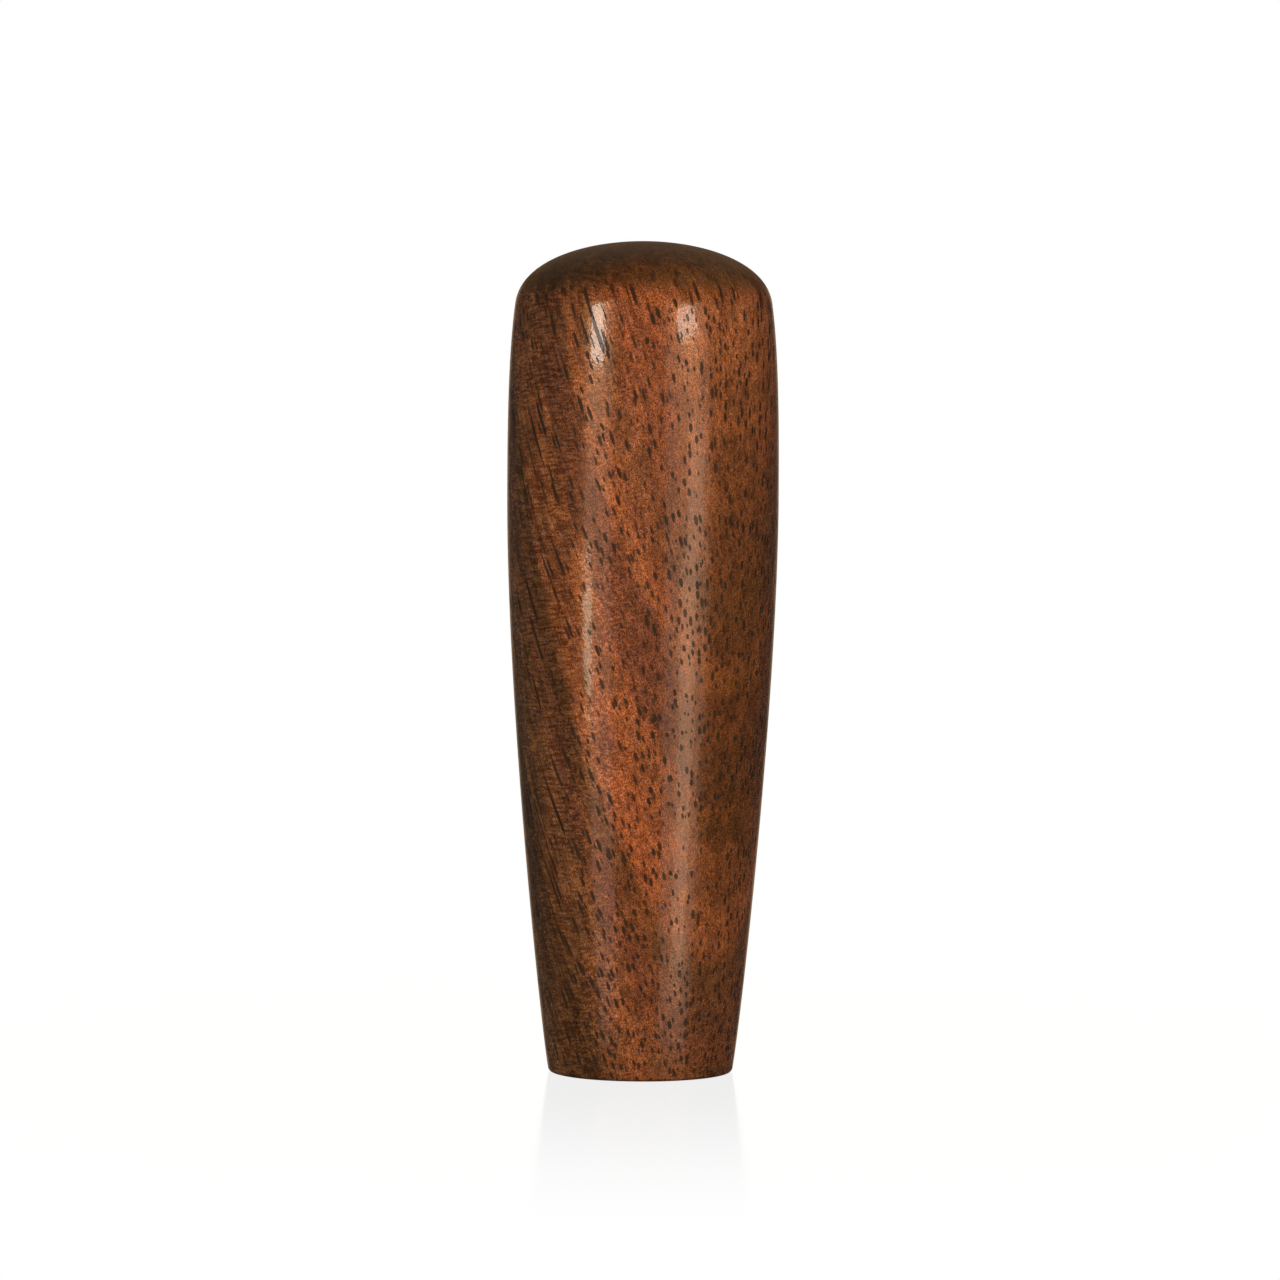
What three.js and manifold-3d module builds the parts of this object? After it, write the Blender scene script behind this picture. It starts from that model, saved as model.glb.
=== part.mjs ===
// A turned hardwood handle that screws onto a threaded stud.
//
// The handle stands on its flat neck face at z = 0, with its axis along +Z and
// its domed thick end on top. A knurled brass insert is glued into a blind bore
// in the neck and carries the thread. All sizes are in millimetres.

import * as THREE from 'three';
import { mergeVertices } from 'three/addons/utils/BufferGeometryUtils.js';
import Module from 'manifold-3d';

const wasm = await Module();
wasm.setup();

// ---- Driving dimensions: wooden body --------------------------------------

const LENGTH = 110;                 // neck face to the top of the dome

const NECK_RADIUS = 12.25;          // at the neck, just above its rounded edge
const NECK_EDGE_ROUND = 0.6;
const NECK_FLARE = 9.8;             // degrees the side leans out from the axis

const BELLY_RADIUS = 17.95;         // the thickest place
const BELLY_HEIGHT = 76.5;

const SHOULDER_RADIUS = 16.97;      // where the side turns over into the dome
const SHOULDER_HEIGHT = 101.8;
const SHOULDER_LEAN = 7.8;          // degrees the side leans in towards the axis

// How far each curve holds its end direction before it turns.
const NECK_PULL = 6.3;
const BELLY_PULL_DOWN = 26.7;
const BELLY_PULL_UP = 7.5;
const SHOULDER_PULL_DOWN = 7.2;
const SHOULDER_PULL_UP = 5.7;
const DOME_PULL = 7.7;

// ---- Driving dimensions: bore and insert ----------------------------------

const THREAD_DIAMETER = 12;         // M12 x 1.75, internal
const THREAD_PITCH = 1.75;
const THREAD_DEPTH = 0.5413 * THREAD_PITCH;

const INSERT_RADIUS = 8;
const INSERT_LENGTH = 25;
const INSERT_SET_BACK = 0.5;        // below the neck face, so the wood seats first
const INSERT_CHAMFER = 0.6;
const KNURL_TEETH = 40;
const KNURL_DEPTH = 0.35;
const GLUE_GROOVE_WIDTH = 4;
const GLUE_GROOVE_DEPTH = 0.8;
const MOUTH_CHAMFER = 0.5;          // beyond the thread, to lead the stud in

const GLUE_GAP = 0.12;              // on the radius, all round the insert
const SEAT_RADIUS = INSERT_RADIUS + GLUE_GAP;
const SEAT_DEPTH = INSERT_SET_BACK + INSERT_LENGTH + 0.5;
const SEAT_CHAMFER = 0.5;
const RELIEF_RADIUS = 6.4;          // clears the end of a long stud
const RELIEF_DEPTH = 40;
const DRILL_POINT_ANGLE = 118;      // degrees, the cone that the drill leaves

// ---- How finely round shapes are faceted ----------------------------------

const BODY_SEGMENTS = 64;
const THREAD_SEGMENTS = 32;

const radians = THREE.MathUtils.degToRad;

// ---- Helpers --------------------------------------------------------------

// A cubic curve in the (radius, height) plane, as points that leave out the first.
function curvePoints(start, startPull, endPull, end, count) {
  const curve = new THREE.CubicBezierCurve(start, startPull, endPull, end);
  return curve.getPoints(count).slice(1);
}

// A point `distance` from `from` along a side that leans `lean` degrees off the axis.
function alongSide(from, lean, distance) {
  const direction = new THREE.Vector2(Math.sin(radians(lean)), Math.cos(radians(lean)));
  return from.clone().addScaledVector(direction, distance);
}

// A solid of revolution about Z. Its profile starts and ends on the axis.
function turned(profile, segments) {
  return new THREE.LatheGeometry(profile, segments).rotateX(Math.PI / 2);
}

function toSolid(geometry) {
  const bare = geometry.clone();
  bare.deleteAttribute('normal');
  bare.deleteAttribute('uv');
  const merged = mergeVertices(bare, 1e-4);
  return new wasm.Manifold(new wasm.Mesh({
    numProp: 3,
    vertProperties: Float32Array.from(merged.attributes.position.array),
    triVerts: Uint32Array.from(merged.index.array),
  }));
}

function toGeometry(solid) {
  const mesh = solid.getMesh();
  const geometry = new THREE.BufferGeometry();
  geometry.setAttribute('position', new THREE.BufferAttribute(mesh.vertProperties, 3));
  geometry.setIndex(new THREE.BufferAttribute(mesh.triVerts, 1));
  geometry.computeVertexNormals();
  return geometry;
}

// ---- Wooden body ----------------------------------------------------------

// The outside, from the neck face's outer edge up to the top of the dome.
function outsideProfile() {
  const edgeCentre = new THREE.Vector2(
    NECK_RADIUS - NECK_EDGE_ROUND * Math.cos(radians(NECK_FLARE)),
    NECK_EDGE_ROUND,
  );
  const edge = new THREE.EllipseCurve(
    edgeCentre.x, edgeCentre.y, NECK_EDGE_ROUND, NECK_EDGE_ROUND,
    -Math.PI / 2, -radians(NECK_FLARE),
  ).getPoints(3);
  const neck = edge.at(-1);
  const belly = new THREE.Vector2(BELLY_RADIUS, BELLY_HEIGHT);
  const shoulder = new THREE.Vector2(SHOULDER_RADIUS, SHOULDER_HEIGHT);
  const top = new THREE.Vector2(0, LENGTH);

  const lowerSide = curvePoints(
    neck,
    alongSide(neck, NECK_FLARE, NECK_PULL),
    alongSide(belly, 0, -BELLY_PULL_DOWN),
    belly,
    14,
  );
  const upperSide = curvePoints(
    belly,
    alongSide(belly, 0, BELLY_PULL_UP),
    alongSide(shoulder, -SHOULDER_LEAN, -SHOULDER_PULL_DOWN),
    shoulder,
    8,
  );
  const dome = curvePoints(
    shoulder,
    alongSide(shoulder, -SHOULDER_LEAN, SHOULDER_PULL_UP),
    new THREE.Vector2(DOME_PULL, LENGTH),
    top,
    14,
  );
  return [...edge, ...lowerSide, ...upperSide, ...dome];
}

// The blind stepped bore, from the drill point down to the neck face.
function boreProfile() {
  const drillPoint = RELIEF_RADIUS / Math.tan(radians(DRILL_POINT_ANGLE / 2));
  return [
    new THREE.Vector2(0, RELIEF_DEPTH + drillPoint),
    new THREE.Vector2(RELIEF_RADIUS, RELIEF_DEPTH),
    new THREE.Vector2(RELIEF_RADIUS, SEAT_DEPTH),
    new THREE.Vector2(SEAT_RADIUS, SEAT_DEPTH),
    new THREE.Vector2(SEAT_RADIUS, SEAT_CHAMFER),
    new THREE.Vector2(SEAT_RADIUS + SEAT_CHAMFER, 0),
  ];
}

function handleBody() {
  const geometry = turned([...boreProfile(), ...outsideProfile()], BODY_SEGMENTS);
  const material = new THREE.MeshStandardMaterial({
    color: 0x7a4a2e,
    roughness: 0.25,
    metalness: 0,
  });
  const mesh = new THREE.Mesh(geometry, material);
  mesh.name = 'handle_body';
  return mesh;
}

// ---- Threaded insert ------------------------------------------------------

// The insert's plain barrel at the depth of the glue groove, with no knurl.
function insertCore() {
  const radius = INSERT_RADIUS - GLUE_GROOVE_DEPTH;
  const profile = [
    new THREE.Vector2(0, 0),
    new THREE.Vector2(radius, 0),
    new THREE.Vector2(radius, INSERT_LENGTH),
    new THREE.Vector2(0, INSERT_LENGTH),
  ];
  return toSolid(turned(profile, KNURL_TEETH));
}

// A straight-knurled ring: one full-depth valley between neighbouring crests.
function knurledBand(bottom, top) {
  const outline = new THREE.Shape();
  const corners = 2 * KNURL_TEETH;
  for (let corner = 0; corner < corners; corner += 1) {
    const radius = corner % 2 === 0 ? INSERT_RADIUS : INSERT_RADIUS - KNURL_DEPTH;
    const angle = (corner / corners) * 2 * Math.PI;
    const x = radius * Math.cos(angle);
    const y = radius * Math.sin(angle);
    if (corner === 0) outline.moveTo(x, y);
    else outline.lineTo(x, y);
  }
  const band = new THREE.ExtrudeGeometry(outline, { depth: top - bottom, bevelEnabled: false });
  return toSolid(band.translate(0, 0, bottom));
}

// The barrel's outer limit: it takes the corners off both ends of the knurl.
function chamferedEnvelope() {
  const wide = INSERT_RADIUS + 0.5;
  const narrow = INSERT_RADIUS - INSERT_CHAMFER;
  const slope = wide - narrow;
  const profile = [
    new THREE.Vector2(0, 0),
    new THREE.Vector2(narrow, 0),
    new THREE.Vector2(wide, slope),
    new THREE.Vector2(wide, INSERT_LENGTH - slope),
    new THREE.Vector2(narrow, INSERT_LENGTH),
    new THREE.Vector2(0, INSERT_LENGTH),
  ];
  return toSolid(turned(profile, KNURL_TEETH));
}

// The solid that the thread leaves empty: a screw whose rows of points climb one
// pitch in each turn, so that every ridge is a true helix.
function threadScrew() {
  const crest = THREAD_DIAMETER / 2;
  const root = crest - THREAD_DEPTH;
  // One pitch of the 60 degree flank: the fraction of the pitch, and the radius there.
  const flank = [[0, root], [5 / 16, crest], [7 / 16, crest], [12 / 16, root]];
  const turns = Math.ceil(INSERT_LENGTH / THREAD_PITCH) + 3;
  const rows = turns * flank.length;
  const start = -2 * THREAD_PITCH;

  function point(row, column) {
    const [fraction, radius] = flank[row % flank.length];
    const turn = Math.floor(row / flank.length);
    const around = column / THREAD_SEGMENTS;
    const angle = 2 * Math.PI * around;
    const height = start + THREAD_PITCH * (turn + fraction + around);
    return [radius * Math.cos(angle), radius * Math.sin(angle), height];
  }

  const corners = [];
  const addFace = (a, b, c) => corners.push(...a, ...b, ...c);
  const last = THREAD_SEGMENTS;
  for (let row = 0; row < rows; row += 1) {
    for (let column = 0; column < last; column += 1) {
      addFace(point(row, column), point(row, column + 1), point(row + 1, column + 1));
      addFace(point(row, column), point(row + 1, column + 1), point(row + 1, column));
    }
  }

  // Each end is a fan round the axis, and a second fan up the step of one pitch
  // that is left where the first and last columns meet.
  const bottom = [0, 0, start];
  const top = [0, 0, start + THREAD_PITCH * (turns + 1)];
  for (let column = 0; column < last; column += 1) {
    addFace(bottom, point(0, column + 1), point(0, column));
    addFace(top, point(rows, column), point(rows, column + 1));
  }
  for (let row = 0; row < flank.length; row += 1) {
    addFace(bottom, point(row, 0), point(row + 1, 0));
    addFace(top, point(rows - row, last), point(rows - row - 1, last));
  }

  const geometry = new THREE.BufferGeometry();
  geometry.setAttribute('position', new THREE.Float32BufferAttribute(corners, 3));
  return toSolid(geometry);
}

// A 45 degree cone that opens the thread's mouth at the insert's lower end.
function mouthCone() {
  const mouthRadius = THREAD_DIAMETER / 2 + MOUTH_CHAMFER;
  const below = 1;
  const profile = [
    new THREE.Vector2(0, -below),
    new THREE.Vector2(mouthRadius + below, -below),
    new THREE.Vector2(0, mouthRadius),
  ];
  return turned(profile, THREAD_SEGMENTS);
}

function threadedInsert() {
  const halfGroove = GLUE_GROOVE_WIDTH / 2;
  const middle = INSERT_LENGTH / 2;
  const upperCone = mouthCone().rotateX(Math.PI).translate(0, 0, INSERT_LENGTH);
  const solid = insertCore()
    .add(knurledBand(0, middle - halfGroove))
    .add(knurledBand(middle + halfGroove, INSERT_LENGTH))
    .intersect(chamferedEnvelope())
    .subtract(threadScrew())
    .subtract(toSolid(mouthCone()))
    .subtract(toSolid(upperCone));
  const material = new THREE.MeshStandardMaterial({
    color: 0xb8954a,
    roughness: 0.35,
    metalness: 1,
  });
  const mesh = new THREE.Mesh(toGeometry(solid), material);
  mesh.name = 'threaded_insert';
  mesh.position.z = INSERT_SET_BACK;
  return mesh;
}

// ---- The whole handle -----------------------------------------------------

const handle = new THREE.Group();
handle.add(handleBody());
handle.add(threadedInsert());

export default handle;
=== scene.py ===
"""The looks, light and camera of a turned walnut handle with a threaded brass insert.

The handle stands on z = 0 with its axis along +Z, and the camera looks along +Y. Its
shapes and the pattern of its wood are given in millimetres, as on a workshop drawing:
new_piece turns shapes into metres, and Graph.place turns positions into millimetres.
The floor, lights and camera are in metres.
"""

import math

import bpy
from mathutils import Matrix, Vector

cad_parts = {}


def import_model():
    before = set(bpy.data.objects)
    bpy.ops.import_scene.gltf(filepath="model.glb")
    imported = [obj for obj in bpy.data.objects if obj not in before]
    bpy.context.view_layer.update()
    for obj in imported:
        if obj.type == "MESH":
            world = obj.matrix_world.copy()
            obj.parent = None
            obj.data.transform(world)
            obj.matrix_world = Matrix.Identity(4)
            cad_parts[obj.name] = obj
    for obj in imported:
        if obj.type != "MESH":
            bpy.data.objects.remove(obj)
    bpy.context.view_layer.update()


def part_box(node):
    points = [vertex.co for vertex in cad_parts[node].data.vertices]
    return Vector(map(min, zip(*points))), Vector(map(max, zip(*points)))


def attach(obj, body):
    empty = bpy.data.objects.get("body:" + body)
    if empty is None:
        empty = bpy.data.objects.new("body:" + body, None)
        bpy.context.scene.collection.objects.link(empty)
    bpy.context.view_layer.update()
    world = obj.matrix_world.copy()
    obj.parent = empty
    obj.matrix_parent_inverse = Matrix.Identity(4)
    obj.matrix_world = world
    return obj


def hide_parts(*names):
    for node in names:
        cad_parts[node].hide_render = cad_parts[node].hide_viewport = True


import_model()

MM = 0.001
PER_METRE = 1000.0


def millimetres(length):
    """A length of the CAD model in millimetres, rid of its file's rounding."""
    return round(length * PER_METRE, 2)


# ---- Shape helpers --------------------------------------------------------

def bezier(start, pull_start, pull_end, end, steps):
    """Points of a cubic curve in the (radius, height) plane, without its first point."""
    points = []
    for step in range(1, steps + 1):
        t = step / steps
        weights = ((1 - t) ** 3, 3 * t * (1 - t) ** 2, 3 * t * t * (1 - t), t ** 3)
        corners = (start, pull_start, pull_end, end)
        radius = sum(weight * corner[0] for weight, corner in zip(weights, corners))
        height = sum(weight * corner[1] for weight, corner in zip(weights, corners))
        points.append((radius, height))
    return points


def along_side(point, lean, distance):
    """A point further along a side that leans `lean` degrees away from the axis."""
    angle = math.radians(lean)
    return (point[0] + distance * math.sin(angle), point[1] + distance * math.cos(angle))


def round_corner(centre, radius, first, last, steps):
    """Points of an arc in the (radius, height) plane, both ends included."""
    points = []
    for step in range(steps + 1):
        angle = math.radians(first + (last - first) * step / steps)
        points.append((centre[0] + radius * math.cos(angle), centre[1] + radius * math.sin(angle)))
    return points


def straight(start, end, steps):
    """Points along a straight line, without its first point."""
    points = []
    for step in range(1, steps + 1):
        t = step / steps
        points.append((start[0] + (end[0] - start[0]) * t, start[1] + (end[1] - start[1]) * t))
    return points


def new_piece(name, vertices, faces, material):
    """A smooth-shaded mesh object from vertices in millimetres."""
    mesh = bpy.data.meshes.new(name)
    mesh.from_pydata([(x * MM, y * MM, z * MM) for x, y, z in vertices], [], faces)
    mesh.materials.append(material)
    mesh.shade_smooth()
    mesh.update()
    piece = bpy.data.objects.new(name, mesh)
    bpy.context.scene.collection.objects.link(piece)
    return piece


def turned(name, profile, segments, material):
    """A solid of revolution about Z whose profile starts and ends on the axis."""
    tips = [(0, 0, profile[0][1]), (0, 0, profile[-1][1])]
    rings = profile[1:-1]
    vertices = list(tips)
    for radius, height in rings:
        for segment in range(segments):
            angle = 2 * math.pi * segment / segments
            vertices.append((radius * math.cos(angle), radius * math.sin(angle), height))

    def vertex(ring, segment):
        return len(tips) + ring * segments + segment % segments

    faces = []
    last_ring = len(rings) - 1
    for segment in range(segments):
        faces.append((0, vertex(0, segment + 1), vertex(0, segment)))
        for ring in range(last_ring):
            faces.append((
                vertex(ring, segment), vertex(ring, segment + 1),
                vertex(ring + 1, segment + 1), vertex(ring + 1, segment),
            ))
        faces.append((1, vertex(last_ring, segment), vertex(last_ring, segment + 1)))
    return new_piece(name, vertices, faces, material)


def sharpen(piece, angle):
    """Keeps edges sharper than `angle` degrees crisp under smooth shading."""
    piece.data.set_sharp_from_angle(angle=math.radians(angle))


# ---- Node helpers ---------------------------------------------------------

# The colour sockets of the Mix node, which share their names with its other sockets.
MIX_FACTOR = 0
MIX_FIRST = 6
MIX_SECOND = 7
MIX_RESULT = 2


class Graph:
    """Short calls that build one material's node tree."""

    def __init__(self, name):
        self.material = bpy.data.materials.new(name)
        self.material.use_nodes = True
        self.nodes = self.material.node_tree.nodes
        self.links = self.material.node_tree.links
        self.shader = self.nodes["Principled BSDF"]

    def add(self, kind, inputs=None, **settings):
        """A new node with its settings and its inputs, each a value or another socket."""
        node = self.nodes.new(kind)
        for setting, value in settings.items():
            setattr(node, setting, value)
        for key, value in (inputs or {}).items():
            self.feed(node.inputs[key], value)
        return node

    def feed(self, socket, value):
        """Links a socket to another one, or sets its value."""
        if isinstance(value, bpy.types.NodeSocket):
            self.links.new(value, socket)
        else:
            socket.default_value = value

    def math(self, operation, *values):
        node = self.add("ShaderNodeMath", dict(enumerate(values)), operation=operation)
        return node.outputs[0]

    def vector(self, operation, *values):
        return self.add("ShaderNodeVectorMath", dict(enumerate(values)), operation=operation)

    def dot(self, vector, direction):
        return self.vector("DOT_PRODUCT", vector, tuple(direction)).outputs["Value"]

    def combine(self, x, y, z):
        return self.add("ShaderNodeCombineXYZ", {"X": x, "Y": y, "Z": z}).outputs[0]

    def separate(self, vector):
        return self.add("ShaderNodeSeparateXYZ", {"Vector": vector}).outputs

    def scaled(self, vector, x, y, z):
        return self.vector("MULTIPLY", vector, (x, y, z)).outputs[0]

    def place(self):
        """The position on the piece, in millimetres."""
        place = self.add("ShaderNodeTexCoord").outputs["Object"]
        return self.scaled(place, PER_METRE, PER_METRE, PER_METRE)

    def normal(self):
        """The direction that the surface faces, as the piece is built."""
        return self.add("ShaderNodeTexCoord").outputs["Normal"]

    def noise(self, vector, scale=1.0, detail=2.0, roughness=0.5):
        node = self.add("ShaderNodeTexNoise", {
            "Vector": vector, "Scale": scale, "Detail": detail, "Roughness": roughness,
        })
        return node.outputs["Fac"]

    def remap(self, value, low, high, to_low=0.0, to_high=1.0, smooth=True):
        kind = "SMOOTHSTEP" if smooth else "LINEAR"
        node = self.add("ShaderNodeMapRange", {
            "Value": value, "From Min": low, "From Max": high,
            "To Min": to_low, "To Max": to_high,
        }, interpolation_type=kind)
        return node.outputs[0]

    def ramp(self, value, stops):
        """A colour that follows (value, colour) stops, blended from each to the next."""
        first, last = stops[0][0], stops[-1][0]
        node = self.add(
            "ShaderNodeValToRGB", {"Fac": self.remap(value, first, last, smooth=False)})
        elements = node.color_ramp.elements
        elements[0].color = stops[0][1]
        elements[1].color = stops[-1][1]
        for place, colour in stops[1:-1]:
            elements.new((place - first) / (last - first)).color = colour
        return node.outputs["Color"]

    def mix(self, factor, first, second, blend="MIX"):
        node = self.add("ShaderNodeMix", data_type="RGBA", blend_type=blend)
        self.feed(node.inputs[MIX_FACTOR], factor)
        self.feed(node.inputs[MIX_FIRST], first)
        self.feed(node.inputs[MIX_SECOND], second)
        return node.outputs[MIX_RESULT]

    def shade(self, colour, amount, low, high):
        """A colour multiplied by a tint that runs from `low` to `high`."""
        return self.mix(1.0, colour, self.mix(amount, low, high), "MULTIPLY")

    def bump(self, height, distance, normal=None):
        inputs = {"Height": height, "Distance": distance}
        if normal is not None:
            inputs["Normal"] = normal
        return self.add("ShaderNodeBump", inputs).outputs[0]

    def set(self, **sockets):
        """Feeds the shader's own sockets, named with _ for each space."""
        for name, value in sockets.items():
            self.feed(self.shader.inputs[name.replace("_", " ")], value)


def linear(red, green, blue):
    """A colour given in the 0 to 255 numbers of a colour picker, as linear light."""
    def channel(value):
        value = value / 255
        return value / 12.92 if value <= 0.04045 else ((value + 0.055) / 1.055) ** 2.4
    return (channel(red), channel(green), channel(blue), 1.0)


def tint(red, green, blue):
    """What a colour is multiplied by, channel by channel."""
    return (red, green, blue, 1.0)


# ---- Walnut: its grain ----------------------------------------------------
# The figure is a solid pattern. Fibres lean away from the handle's axis, so they run
# along the surface on two sides, where pores show as long streaks, and dive into it
# between them, where the same pores show as short dashes.

GRAIN_HEADING = -50      # degrees round the axis, to the side that fibres lean away from
RING_TILT = 15           # degrees between the growth layers and the handle's axis
FIBRE_TILT = 23          # degrees between the fibres and the handle's axis
RAY_TILT = 3             # degrees between the rays, which cross the fibres, and level

WANDER = 2.0             # millimetres between the furthest that the grain strays each way
WANDER_SCALE = 0.045     # strays to a millimetre


def heading():
    """The level direction that the fibres lean away from."""
    angle = math.radians(GRAIN_HEADING)
    return Vector((math.cos(angle), math.sin(angle), 0))


def grain_axes(tilt):
    """Unit vectors along the grain, out through its layers, and across both."""
    tilt = math.radians(tilt)
    level = heading()
    up = Vector((0, 0, 1))
    along = up * math.cos(tilt) - level * math.sin(tilt)
    outward = level * math.cos(tilt) + up * math.sin(tilt)
    return along, outward, along.cross(outward)


def grain_position(graph, tilt):
    """Position in millimetres as (out through the layers, across, along the grain)."""
    along, outward, across = grain_axes(tilt)
    place = graph.place()
    stray = graph.add("ShaderNodeTexNoise", {
        "Vector": place, "Scale": WANDER_SCALE, "Detail": 1.0,
    }).outputs["Color"]
    stray = graph.vector("SUBTRACT", stray, (0.5, 0.5, 0.5)).outputs[0]
    stray = graph.scaled(stray, WANDER, WANDER, WANDER)
    place = graph.vector("ADD", place, stray).outputs[0]
    return graph.combine(
        graph.dot(place, outward), graph.dot(place, across), graph.dot(place, along))


# ---- Walnut: its growth bands ---------------------------------------------

EBONY = linear(98, 54, 31)
UMBER = linear(118, 67, 37)
BROWN = linear(139, 78, 45)
CHESTNUT = linear(149, 84, 49)
ROSEWOOD = linear(130, 70, 44)
RUSSET = linear(151, 80, 47)
AMBER = linear(166, 88, 50)
GOLD = linear(171, 94, 53)
HONEY = linear(191, 105, 60)

# Millimetres out through the growth rings, and the colour of the wood there.
GROWTH_BANDS = [
    (-18, BROWN), (-14, RUSSET), (-12, UMBER), (-8, BROWN), (-1, BROWN), (1, UMBER),
    (3.2, UMBER), (4.2, EBONY), (5.4, UMBER), (6.4, BROWN), (9, BROWN), (10.6, CHESTNUT),
    (12, BROWN), (13.2, ROSEWOOD), (17, UMBER), (18.3, AMBER), (19.2, AMBER), (20.5, RUSSET),
    (22.4, AMBER), (23.3, CHESTNUT), (24.3, AMBER), (25.2, ROSEWOOD), (29.1, ROSEWOOD),
    (30.2, GOLD), (31.2, RUSSET), (33, BROWN), (36, RUSSET), (38.5, AMBER), (41.5, HONEY),
    (43, HONEY), (46, BROWN),
]

FEATHER = 1.3                        # millimetres that a band's edge strays each way
FEATHER_CELLS = (1.1, 1.1, 0.12)     # to a millimetre out, across and along the grain

# Millimetres across the grain, from where the bands have their near tint to where they have their
# far one. The far tints darken the +X side: partly the wood's own tone, partly painted shade.
FLANK = (-13.0, 2.0)
NEAR_TINT = tint(0.98, 1.00, 1.03)
# Millimetres out through the growth rings, and the far tint there.
FAR_TONES_AND_SHADE = [
    (12, tint(0.60, 0.68, 0.66)),
    (16, tint(0.88, 1.00, 0.96)),
    (21, tint(0.66, 0.77, 0.66)),
    (23, tint(0.42, 0.49, 0.35)),
    (24.5, tint(0.40, 0.47, 0.33)),
    (26, tint(0.60, 0.71, 0.49)),
    (28.5, tint(0.74, 0.80, 0.52)),
    (30, tint(0.54, 0.62, 0.46)),
    (33, tint(0.57, 0.66, 0.51)),
    (38, tint(0.68, 0.80, 0.68)),
    (42, tint(0.78, 0.86, 0.84)),
]

# Millimetres out from the axis, towards the heading, and the tint of the wood there. It is least
# red near the middle, where the growth layers meet the surface edge on, and its darkening there
# is partly that tone and partly painted shade.
EDGE_TONES_AND_SHADE = [
    (-15, tint(1.00, 1.00, 1.00)),
    (-8, tint(0.61, 0.79, 0.80)),
    (-3, tint(0.61, 0.79, 0.78)),
    (0, tint(0.65, 0.77, 0.78)),
    (4, tint(0.65, 0.77, 0.78)),
    (8, tint(1.04, 1.03, 1.00)),
    (10.5, tint(1.10, 1.08, 1.00)),
    (14, tint(0.96, 0.95, 0.96)),
]


def growth_colour(graph):
    """Bands of darker and brighter wood, with edges feathered along the grain, and darker towards
    +X, partly as the wood's tone and partly as painted shade.
    """
    layers = grain_position(graph, RING_TILT)
    ring, across, _ = graph.separate(layers)
    feather = graph.noise(graph.scaled(layers, *FEATHER_CELLS), detail=3.0, roughness=0.6)
    feather = graph.remap(feather, 0.0, 1.0, -FEATHER, FEATHER, smooth=False)
    ring = graph.math("ADD", ring, feather)
    # Darker towards +X: partly the wood's own tone, partly painted shade on that flank.
    flank_tone_and_shade = graph.mix(graph.remap(across, *FLANK), NEAR_TINT, graph.ramp(ring, FAR_TONES_AND_SHADE))
    return graph.mix(1.0, graph.ramp(ring, GROWTH_BANDS), flank_tone_and_shade, "MULTIPLY")


def edge_tones_and_shade(graph, colour):
    """Tints the wood by its distance from the axis, towards the heading; its darker stretch is
    partly painted shade.
    """
    level = graph.dot(graph.place(), heading())
    return graph.mix(1.0, colour, graph.ramp(level, EDGE_TONES_AND_SHADE), "MULTIPLY")


# ---- Walnut: its fine figure ----------------------------------------------
# A pair gives the two ends of a range. Cells are counted to a millimetre.

PLAIN = tint(1.0, 1.0, 1.0)

END_GRAIN_AND_SHADE_RANGE = (0.30, 0.64)     # how much the surface faces up or down, for none and all of it
# The tint where the surface faces up or down: darker end grain, and painted shade on the dome's
# top, where little light falls.
END_GRAIN_AND_SHADE_TINT = tint(0.59, 0.75, 0.71)
END_GRAIN_PORES = 0.4        # how dark pores are in it

# Each is a noise, with its cells across and along the grain, that tints the wood from
# dark, at `spread` below one half, to bright, at as much above it.
FIGURE = [
    dict(across=0.40, along=0.20, detail=3.0, roughness=0.6, spread=0.18,    # broad mottle
         dark=tint(0.76, 0.78, 0.82), bright=tint(1.24, 1.22, 1.18)),
    dict(across=1.7, along=0.10, detail=2.0, roughness=0.6, spread=0.20,     # long streaks
         dark=tint(0.78, 0.79, 0.84), bright=tint(1.25, 1.22, 1.14)),
    dict(across=7.2, along=4.6, detail=2.0, roughness=0.7, spread=0.13,      # fine cells
         dark=tint(0.50, 0.32, 0.0), bright=tint(1.50, 1.68, 2.0)),
    dict(across=4.6, along=3.4, detail=2.0, roughness=0.7, spread=0.14,      # warm flecks
         dark=tint(1.10, 0.93, 0.35), bright=tint(0.90, 1.07, 1.68)),
]

RAY_CELLS = (0.42, 2.4, 3.0)         # out, across and along the grain
RAY_SPREAD = 0.3
RAY_DARK = tint(0.64, 0.54, 0.50)
RAY_BRIGHT = tint(1.36, 1.46, 1.50)
RAY_FACING = (0.55, 0.95)            # how squarely the surface faces across the grain
RAY_FACING_STRENGTH = (0.5, 1.6)
RAY_PATCH_CELLS = (0.14, 0.30, 0.09)
RAY_PATCHES = (0.36, 0.62)
RAY_PATCH_STRENGTH = (0.6, 1.5)

PORE_SPACING = 0.72                  # millimetres, middle to middle
PORE_RADIUS = 0.20
PORE_SIZES = (0.40, 1.2)             # the narrowest and widest pores, in PORE_RADIUS
PORE_LENGTH = 3.0
PORE_OPENING = (0.67, 0.77)          # presence where a pore begins, and where it is widest
PORE_RUNS = 400.0                    # keeps the runs of neighbouring pores unalike
PORE_WALL = (-0.02, 0.03)            # millimetres inside the wall, from clear to dark
PORE_DEPTHS = (0.85, 1.0)            # how dark the palest and darkest pores are
PORE_COLOUR = linear(40, 28, 19)
CROWDING = 0.5                       # how much pores keep to some places
CROWD_CELLS = (0.22, 0.12, 0.05)     # out, across and along the grain
HALO_WIDTH = 0.16                    # millimetres of shaded tissue round a pore
HALO_TINT = tint(0.66, 0.60, 0.58)


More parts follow.
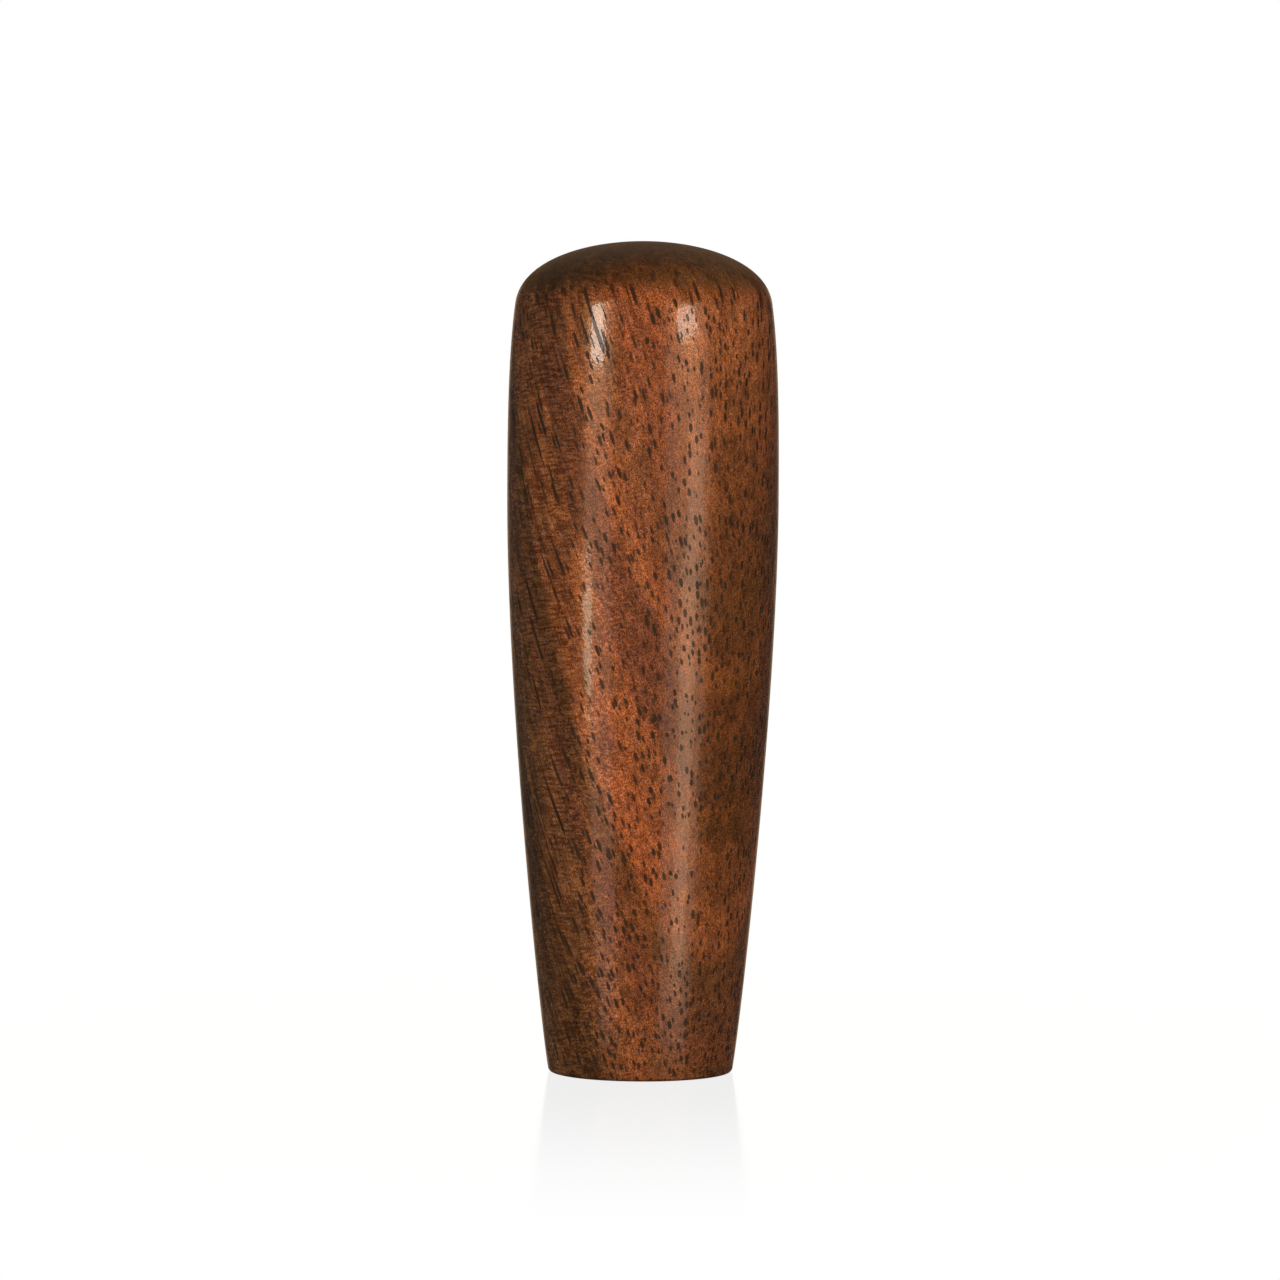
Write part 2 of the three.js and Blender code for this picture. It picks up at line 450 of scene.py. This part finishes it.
def end_grain_and_dome_shade(graph):
    """How squarely the surface cuts the handle's length: 0 along it, 1 across it. It marks the end
    grain, and the painted shade on the dome's top.
    """
    upward = graph.math("ABSOLUTE", graph.separate(graph.normal())[2])
    return graph.remap(upward, *END_GRAIN_AND_SHADE_RANGE)


def figured(graph, grain, colour, across, along, detail, roughness, spread, dark, bright):
    """The colour with one layer of FIGURE over it."""
    cells = graph.noise(
        graph.scaled(grain, across, across, along), detail=detail, roughness=roughness)
    return graph.shade(colour, graph.remap(cells, 0.5 - spread, 0.5 + spread), dark, bright)


def ray_flecks(graph, colour):
    """Fine level lines, in patches, strongest on the sides that the rays run along."""
    rays = grain_position(graph, RAY_TILT)
    lines = graph.noise(graph.scaled(rays, *RAY_CELLS), detail=1.5, roughness=0.6)
    facing = graph.math("ABSOLUTE", graph.dot(graph.normal(), grain_axes(RAY_TILT)[2]))
    patch = graph.noise(graph.scaled(rays, *RAY_PATCH_CELLS), detail=1.0)
    strength = graph.math("MULTIPLY", graph.remap(facing, *RAY_FACING, *RAY_FACING_STRENGTH),
                          graph.remap(patch, *RAY_PATCHES, *RAY_PATCH_STRENGTH))
    lines = graph.math("MULTIPLY", graph.math("SUBTRACT", lines, 0.5), strength)
    return graph.shade(
        colour, graph.remap(lines, -RAY_SPREAD, RAY_SPREAD), RAY_DARK, RAY_BRIGHT)


def pores(graph, grain):
    """Vessels in broken lines along the fibre: (how dark inside, how shaded around)."""
    ring, across, along = graph.separate(grain)
    tubes = graph.add("ShaderNodeTexVoronoi", {
        "Vector": graph.combine(ring, across, 0.0), "Scale": 1 / PORE_SPACING,
    }, voronoi_dimensions="2D")
    own_run, own_size, own_depth = graph.separate(tubes.outputs["Color"])
    start = graph.math("MULTIPLY", own_run, PORE_RUNS)
    run = graph.combine(start, start, graph.math("DIVIDE", along, PORE_LENGTH))
    crowd = graph.noise(graph.scaled(grain, *CROWD_CELLS), detail=1.0)
    presence = graph.math(
        "ADD", graph.noise(run, detail=1.0), graph.math("MULTIPLY", crowd, CROWDING))
    radius = graph.math(
        "MULTIPLY", graph.remap(presence, *PORE_OPENING, 0.0, PORE_RADIUS),
        graph.remap(own_size, 0.0, 1.0, *PORE_SIZES))
    distance = graph.math("MULTIPLY", tubes.outputs["Distance"], PORE_SPACING)
    inside = graph.math("SUBTRACT", radius, distance)
    dark = graph.math("MULTIPLY", graph.remap(inside, *PORE_WALL),
                      graph.remap(own_depth, 0.0, 1.0, *PORE_DEPTHS))
    return dark, graph.remap(inside, -HALO_WIDTH, 0.0)


# ---- Walnut: its lacquer --------------------------------------------------

WAVE_CELLS = (0.5, 0.5, 0.25)
WAVE_HEIGHT = 0.04           # millimetres, of slow waves in the wood and the lacquer
PEEL_CELLS = (3.0, 3.0, 2.4)
WOOD_RELIEF = 0.03           # millimetres, of pores and fine peel in the wood
COAT_RELIEF = 0.012          # millimetres, of the same once the lacquer has levelled it
PEEL = 0.8                   # the fine peel's share of that relief

WOOD_ROUGHNESS = 0.26
PORE_ROUGHNESS = 0.6
END_GRAIN_ROUGHNESS = 0.5
COAT_WEIGHT = 0.40
SOAKED_COAT_WEIGHT = 0.05    # where end grain has soaked the lacquer up
PORE_SOAK = 0.6              # how much of that a pore does


def lacquer(graph, grain, dark, cut_across_and_dome_shade):
    """Gloss that waves a little, dips over the pores and sinks into the end grain."""
    waves = graph.noise(graph.scaled(grain, *WAVE_CELLS), detail=1.0)
    waves = graph.bump(waves, WAVE_HEIGHT * MM)
    peel = graph.noise(graph.scaled(grain, *PEEL_CELLS), detail=1.0)
    relief = graph.math("SUBTRACT", graph.math("MULTIPLY", peel, PEEL), dark)
    soak = graph.math("MAXIMUM", cut_across_and_dome_shade, graph.math("MULTIPLY", dark, PORE_SOAK))
    graph.set(
        Roughness=graph.math(
            "MAXIMUM", graph.remap(dark, 0.0, 1.0, WOOD_ROUGHNESS, PORE_ROUGHNESS),
            graph.remap(cut_across_and_dome_shade, 0.0, 1.0, WOOD_ROUGHNESS, END_GRAIN_ROUGHNESS)),
        Specular_IOR_Level=0.7,
        Specular_Tint=(1.0, 0.5, 0.22, 1.0),
        Coat_Weight=graph.remap(soak, 0.0, 1.0, COAT_WEIGHT, SOAKED_COAT_WEIGHT),
        Coat_Roughness=0.045,
        Normal=graph.bump(relief, WOOD_RELIEF * MM, normal=waves),
        Coat_Normal=graph.bump(relief, COAT_RELIEF * MM, normal=waves),
    )


def walnut():
    """Lacquered walnut, from its broad bands down to its pores."""
    graph = Graph("lacquered_walnut")
    grain = grain_position(graph, FIBRE_TILT)
    cut_across_and_dome_shade = end_grain_and_dome_shade(graph)
    # Edge tones over the growth bands, partly painted shade.
    colour = edge_tones_and_shade(graph, growth_colour(graph))
    # End grain and painted shade: the colour darkens where the surface faces up or down.
    colour = graph.shade(colour, cut_across_and_dome_shade, PLAIN, END_GRAIN_AND_SHADE_TINT)
    for layer in FIGURE:
        colour = figured(graph, grain, colour, **layer)
    colour = ray_flecks(graph, colour)

    dark, shaded = pores(graph, grain)
    dark = graph.math(
        "MULTIPLY", dark, graph.remap(cut_across_and_dome_shade, 0.0, 1.0, 1.0, END_GRAIN_PORES))
    colour = graph.shade(colour, shaded, PLAIN, HALO_TINT)
    graph.set(Base_Color=graph.mix(dark, colour, PORE_COLOUR))
    lacquer(graph, grain, dark, cut_across_and_dome_shade)
    return graph.material


# ---- Brass ----------------------------------------------------------------

BRIGHT_BRASS = linear(214, 176, 104)
STAINED_BRASS = linear(176, 136, 70)
BRASS_STAINS = (0.35, 0.7)           # noise where a stain begins, and where it is full
BRASS_ROUGHNESS = (0.22, 0.40)
TOOL_MARK_CELLS = (0.3, 0.3, 14.0)   # to a millimetre: level rings left by the lathe
TOOL_MARK_DEPTH = 0.01


def brass():
    """Machined brass, a little stained, with fine tool marks round it."""
    graph = Graph("turned_brass")
    place = graph.place()
    stain = graph.noise(place, scale=0.6, detail=4.0)
    marks = graph.noise(graph.scaled(place, *TOOL_MARK_CELLS), detail=2.0)
    graph.set(
        Base_Color=graph.mix(graph.remap(stain, *BRASS_STAINS), BRIGHT_BRASS, STAINED_BRASS),
        Metallic=1.0,
        Roughness=graph.remap(marks, 0.3, 0.7, *BRASS_ROUGHNESS),
        Normal=graph.bump(marks, TOOL_MARK_DEPTH * MM),
    )
    return graph.material


# ---- The wooden body ------------------------------------------------------

BODY_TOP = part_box("handle_body")[1]
INSERT_BOTTOM, INSERT_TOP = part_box("threaded_insert")

LENGTH = millimetres(BODY_TOP.z)
NECK_RADIUS = 12.25          # at the neck, just above its rounded edge
NECK_EDGE_ROUND = 0.6
NECK_FLARE = 9.8             # degrees the side leans out from the axis
BELLY_RADIUS = millimetres(BODY_TOP.x)
BELLY_HEIGHT = 76.5
SHOULDER_RADIUS = 16.97      # where the side turns over into the dome
SHOULDER_HEIGHT = 101.8
SHOULDER_LEAN = 7.8          # degrees the side leans in towards the axis

# How far each curve holds its end direction before it turns.
NECK_PULL = 6.3
BELLY_PULL_DOWN = 26.7
BELLY_PULL_UP = 7.5
SHOULDER_PULL_DOWN = 7.2
SHOULDER_PULL_UP = 5.7
DOME_PULL = 7.7

# The bore: a seat for the insert, a relief for the end of the stud, and the drill's cone.
INSERT_SET_BACK = millimetres(INSERT_BOTTOM.z)
INSERT_LENGTH = millimetres(INSERT_TOP.z - INSERT_BOTTOM.z)
INSERT_RADIUS = millimetres(INSERT_TOP.x)
GLUE_GAP = 0.12              # on the radius, all round the insert
SEAT_RADIUS = INSERT_RADIUS + GLUE_GAP
SEAT_DEPTH = INSERT_SET_BACK + INSERT_LENGTH + 0.5
SEAT_CHAMFER = 0.5
RELIEF_RADIUS = 6.4
RELIEF_DEPTH = 40
DRILL_POINT_ANGLE = 118      # degrees

# Facets round the body and along each stretch of its outline, and its sharpest soft edge.
BODY_SEGMENTS = 192
SEAT_STEPS = 8
EDGE_STEPS = 8
LOWER_SIDE_STEPS = 72
UPPER_SIDE_STEPS = 28
DOME_STEPS = 56
BODY_CREASE = 35             # degrees


def bore_profile():
    """The blind stepped bore, from the drill's point down to the neck face."""
    drill_point = RELIEF_RADIUS / math.tan(math.radians(DRILL_POINT_ANGLE / 2))
    seat_top = (SEAT_RADIUS, SEAT_DEPTH)
    seat_bottom = (SEAT_RADIUS, SEAT_CHAMFER)
    mouth = (SEAT_RADIUS + SEAT_CHAMFER, 0)
    return [
        (0, RELIEF_DEPTH + drill_point),
        (RELIEF_RADIUS, RELIEF_DEPTH),
        (RELIEF_RADIUS, SEAT_DEPTH),
        seat_top,
        *straight(seat_top, seat_bottom, SEAT_STEPS),
        mouth,
    ]


def outside_profile():
    """The outside, from the neck face's edge up to the top of the dome."""
    flare = math.radians(NECK_FLARE)
    edge_centre = (NECK_RADIUS - NECK_EDGE_ROUND * math.cos(flare), NECK_EDGE_ROUND)
    edge = round_corner(edge_centre, NECK_EDGE_ROUND, -90, -NECK_FLARE, EDGE_STEPS)
    neck = edge[-1]
    belly = (BELLY_RADIUS, BELLY_HEIGHT)
    shoulder = (SHOULDER_RADIUS, SHOULDER_HEIGHT)
    lower_side = bezier(
        neck, along_side(neck, NECK_FLARE, NECK_PULL),
        along_side(belly, 0, -BELLY_PULL_DOWN), belly, LOWER_SIDE_STEPS)
    upper_side = bezier(
        belly, along_side(belly, 0, BELLY_PULL_UP),
        along_side(shoulder, -SHOULDER_LEAN, -SHOULDER_PULL_DOWN), shoulder, UPPER_SIDE_STEPS)
    dome = bezier(
        shoulder, along_side(shoulder, -SHOULDER_LEAN, SHOULDER_PULL_UP),
        (DOME_PULL, LENGTH), (0, LENGTH), DOME_STEPS)
    return [*edge, *lower_side, *upper_side, *dome]


def wooden_body(material):
    """The turned body, with the bore in its neck."""
    body = turned("walnut_body", [*bore_profile(), *outside_profile()], BODY_SEGMENTS, material)
    sharpen(body, BODY_CREASE)
    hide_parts("handle_body")
    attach(body, "root")


# ---- The brass insert -----------------------------------------------------

THREAD_RADIUS = 6            # M12 x 1.75, internal
THREAD_PITCH = 1.75
THREAD_DEPTH = 0.5413 * THREAD_PITCH
THREAD_FLANK = 5 / 16        # of the pitch
THREAD_END = 12 / 16         # of the pitch, where the groove closes again
MOUTH_CHAMFER = 0.5          # beyond the thread, to lead the stud in

INSERT_CHAMFER = 0.6
KNURL_TEETH = 40
KNURL_DEPTH = 0.35
GLUE_GROOVE_WIDTH = 4
GLUE_GROOVE_DEPTH = 0.8

# Points round the insert, rows of points down its thread, and its sharpest soft edge.
INSERT_COLUMNS = 2 * KNURL_TEETH
ROWS_TO_A_PITCH = 32
THREAD_STEPS = round(ROWS_TO_A_PITCH * INSERT_LENGTH / THREAD_PITCH)
INSERT_CREASE = 40           # degrees


def bore_radius(column, height):
    """The inside radius: a helical 60 degree groove, and a cone at each mouth."""
    turn = (height / THREAD_PITCH - column / INSERT_COLUMNS) % 1
    groove = min(turn, THREAD_END - turn) / THREAD_FLANK
    groove = max(0, min(1, groove))
    threaded = THREAD_RADIUS - THREAD_DEPTH * (1 - groove)
    depth = min(height, INSERT_LENGTH - height)
    return max(threaded, THREAD_RADIUS + MOUTH_CHAMFER - depth)


def insert_rows():
    """Rows of (radius, height) round the insert: up the outside, then down the bore."""
    columns = range(INSERT_COLUMNS)
    knurl = [INSERT_RADIUS - KNURL_DEPTH * (column % 2) for column in columns]
    face_edge = INSERT_RADIUS - INSERT_CHAMFER
    groove = INSERT_RADIUS - GLUE_GROOVE_DEPTH
    groove_bottom = (INSERT_LENGTH - GLUE_GROOVE_WIDTH) / 2
    groove_top = (INSERT_LENGTH + GLUE_GROOVE_WIDTH) / 2
    rows = [
        [(face_edge, 0)] * INSERT_COLUMNS,
        [(radius, radius - face_edge) for radius in knurl],
        [(radius, groove_bottom) for radius in knurl],
        [(groove, groove_bottom)] * INSERT_COLUMNS,
        [(groove, groove_top)] * INSERT_COLUMNS,
        [(radius, groove_top) for radius in knurl],
        [(radius, INSERT_LENGTH - radius + face_edge) for radius in knurl],
        [(face_edge, INSERT_LENGTH)] * INSERT_COLUMNS,
    ]
    for step in range(THREAD_STEPS + 1):
        height = INSERT_LENGTH * (1 - step / THREAD_STEPS)
        rows.append([(bore_radius(column, height), height) for column in columns])
    return rows


def brass_insert(material):
    """The knurled sleeve that is glued into the bore, with its thread inside."""
    rows = insert_rows()
    vertices = []
    for row in rows:
        for column, (radius, height) in enumerate(row):
            angle = 2 * math.pi * column / INSERT_COLUMNS
            vertices.append((
                radius * math.cos(angle), radius * math.sin(angle), height + INSERT_SET_BACK))

    def vertex(row, column):
        return row % len(rows) * INSERT_COLUMNS + column % INSERT_COLUMNS

    faces = []
    for row in range(len(rows)):
        for column in range(INSERT_COLUMNS):
            faces.append((
                vertex(row, column), vertex(row, column + 1),
                vertex(row + 1, column + 1), vertex(row + 1, column),
            ))
    insert = new_piece("brass_insert", vertices, faces, material)
    sharpen(insert, INSERT_CREASE)
    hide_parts("threaded_insert")
    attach(insert, "root")


# ---- Camera ---------------------------------------------------------------

CAMERA_DISTANCE = 0.8
CAMERA_HEIGHT = 0.097
CAMERA_ROLL = 0.27           # degrees
AIM_HEIGHT = 0.0573
AIM_SIDE = -0.0003
LENS = 170.2                 # millimetres, as is the sensor
SENSOR_WIDTH = 36
NEAREST_SEEN = 0.05
FURTHEST_SEEN = 20


def camera():
    """A long lens above the handle's middle, looking slightly down at it."""
    data = bpy.data.cameras.new("camera")
    data.lens = LENS
    data.sensor_width = SENSOR_WIDTH
    data.clip_start = NEAREST_SEEN
    data.clip_end = FURTHEST_SEEN
    eye = bpy.data.objects.new("camera", data)
    eye.location = (AIM_SIDE, -CAMERA_DISTANCE, CAMERA_HEIGHT)
    look = Vector((AIM_SIDE, 0, AIM_HEIGHT)) - eye.location
    turn = look.to_track_quat("-Z", "Y").to_euler()
    turn.rotate_axis("Z", math.radians(CAMERA_ROLL))
    eye.rotation_euler = turn
    bpy.context.scene.collection.objects.link(eye)
    bpy.context.scene.camera = eye


# ---- Background and floor -------------------------------------------------

WHITE = (1, 1, 1)
ROOM_LIGHT = 0.04

FLOOR_HALF_WIDTH = 3.0
FLOOR_GREY = (0.8, 0.8, 0.8, 1)
FLOOR_IOR = 1.45
FLOOR_ROUGHNESS = 0.12
REFLECTION_STRENGTH = 0.30
REFLECTION_START = 0.012     # from the axis, where the reflection is at full strength
REFLECTION_REACH = 0.15      # from the axis, where it has faded away


def world():
    """A white background to the camera, and a dim room to everything else."""
    studio = bpy.data.worlds.new("studio")
    studio.use_nodes = True
    nodes = studio.node_tree.nodes
    links = studio.node_tree.links
    nodes.clear()
    path = nodes.new("ShaderNodeLightPath")
    strength = nodes.new("ShaderNodeMapRange")
    strength.inputs["To Min"].default_value = ROOM_LIGHT
    strength.inputs["To Max"].default_value = 1.0
    background = nodes.new("ShaderNodeBackground")
    background.inputs["Color"].default_value = (*WHITE, 1)
    output = nodes.new("ShaderNodeOutputWorld")
    links.new(path.outputs["Is Camera Ray"], strength.inputs["Value"])
    links.new(strength.outputs[0], background.inputs["Strength"])
    links.new(background.outputs[0], output.inputs["Surface"])
    bpy.context.scene.world = studio


def pale_floor():
    """White to the camera, with a faint reflection that fades away from the handle."""
    graph = Graph("pale_floor")
    graph.nodes.remove(graph.shader)
    place = graph.add("ShaderNodeTexCoord").outputs["Object"]
    away = graph.vector("LENGTH", place).outputs["Value"]
    near = graph.remap(away, REFLECTION_REACH, REFLECTION_START, 0.0, REFLECTION_STRENGTH)
    grazing = graph.add("ShaderNodeFresnel", {"IOR": FLOOR_IOR}).outputs[0]
    white = graph.add("ShaderNodeEmission", {"Strength": 1.0}).outputs[0]
    mirror = graph.add("ShaderNodeBsdfGlossy", {"Roughness": FLOOR_ROUGHNESS}).outputs[0]
    seen = graph.add("ShaderNodeMixShader", {
        0: graph.math("MULTIPLY", near, grazing), 1: white, 2: mirror,
    }).outputs[0]
    bounce = graph.add("ShaderNodeBsdfDiffuse", {"Color": FLOOR_GREY}).outputs[0]
    path = graph.add("ShaderNodeLightPath").outputs["Is Camera Ray"]
    surface = graph.add("ShaderNodeMixShader", {0: path, 1: bounce, 2: seen}).outputs[0]
    graph.links.new(surface, graph.nodes["Material Output"].inputs["Surface"])
    return graph.material


def floor():
    """A wide floor that doesn't show in the handle's gloss."""
    mesh = bpy.data.meshes.new("floor")
    side = FLOOR_HALF_WIDTH
    corners = [(-side, -side, 0), (side, -side, 0), (side, side, 0), (-side, side, 0)]
    mesh.from_pydata(corners, [], [(0, 1, 2, 3)])
    mesh.materials.append(pale_floor())
    plane = bpy.data.objects.new("floor", mesh)
    plane.visible_glossy = False
    plane.visible_shadow = False
    bpy.context.scene.collection.objects.link(plane)
    return plane


# ---- Lights ---------------------------------------------------------------

# Tall boxes make the highlights, and fills that the gloss doesn't show light the wood.
# Each has a name, degrees round the axis from the camera's side to its right, distance
# and width, lowest and highest point, radiance, colour, and what it lights.
LIGHTS = [
    ("left_upper", -40, 0.6, 0.12, 0.155, 0.257, 16.5, (0.95, 1.0, 0.95), "gloss"),
    ("left_lower", -48, 0.6, 0.075, -0.05, 0.012, 8.0, (1.0, 1.0, 0.75), "gloss"),
    ("left_glow", -38, 0.6, 0.24, -0.20, 0.265, 0.9, (0.95, 1.0, 1.1), "gloss"),
    ("right_upper", 38, 0.6, 0.17, 0.185, 0.244, 12.0, (0.95, 0.96, 0.9), "gloss"),
    ("right_middle", 45, 0.6, 0.15, 0.02, 0.10, 2.4, (1.1, 0.95, 0.75), "gloss"),
    ("right_lower", 40, 0.6, 0.15, -0.17, 0.02, 2.4, (1.1, 0.95, 0.75), "gloss"),
    ("right_glow", 38, 0.6, 0.40, -0.22, 0.265, 0.9, (0.85, 1.0, 1.1), "gloss"),
    ("back_strip", 180, 0.6, 0.45, -0.25, 0.50, 0.30, (1.2, 0.75, 0.4), "gloss"),
    ("front_fill", -3, 0.4, 0.16, -0.16, 0.16, 6.75, WHITE, "wood"),
    ("left_fill", -95, 0.6, 0.3, -0.2, 0.3, 1.2, (0.95, 1.05, 0.9), "wood"),
    ("right_fill", 95, 0.6, 0.3, -0.2, 0.3, 1.8, (1.1, 1.0, 0.8), "wood"),
    ("overhead", 180, 0.6, 1.6, 0.5, 1.4, 0.23, (1.15, 0.85, 0.6), "both"),
    ("back_fill", 180, 1.0, 0.8, -0.1, 0.7, 3.0, WHITE, "wood"),
]

WALL_DISTANCE = 2.0
WALL_BOTTOM = -0.5
WALL_TOP = 2.0
WALL_RADIANCE = 1.0


def softbox(name, azimuth, distance, width, low, high, radiance, colour, lit):
    """A tall soft light facing the axis, unseen by the camera."""
    data = bpy.data.lights.new(name, "AREA")
    data.shape = "RECTANGLE"
    data.size = width
    data.size_y = high - low
    data.color = colour
    data.energy = radiance * math.pi * width * (high - low)
    lamp = bpy.data.objects.new(name, data)
    angle = math.radians(azimuth)
    lamp.location = (
        distance * math.sin(angle), -distance * math.cos(angle), (low + high) / 2)
    lamp.rotation_euler = (math.radians(90), 0, angle)
    lamp.visible_camera = False
    lamp.visible_glossy = lit in ("gloss", "both")
    lamp.visible_diffuse = lit in ("wood", "both")
    bpy.context.scene.collection.objects.link(lamp)
    return lamp


def white_walls(plane):
    """Four white walls that only the floor's reflection sees, so it stays white."""
    floor_only = bpy.data.collections.new("floor_only")
    floor_only.objects.link(plane)
    for side in range(4):
        wall = softbox(f"wall_{side}", 90 * side, WALL_DISTANCE, 2 * WALL_DISTANCE,
                       WALL_BOTTOM, WALL_TOP, WALL_RADIANCE, WHITE, "gloss")
        wall.light_linking.receiver_collection = floor_only


def lights():
    for light in LIGHTS:
        softbox(*light)


# ---- The scene ------------------------------------------------------------

bpy.context.scene.view_settings.view_transform = "Standard"
camera()
world()
white_walls(floor())
lights()
wooden_body(walnut())
brass_insert(brass())
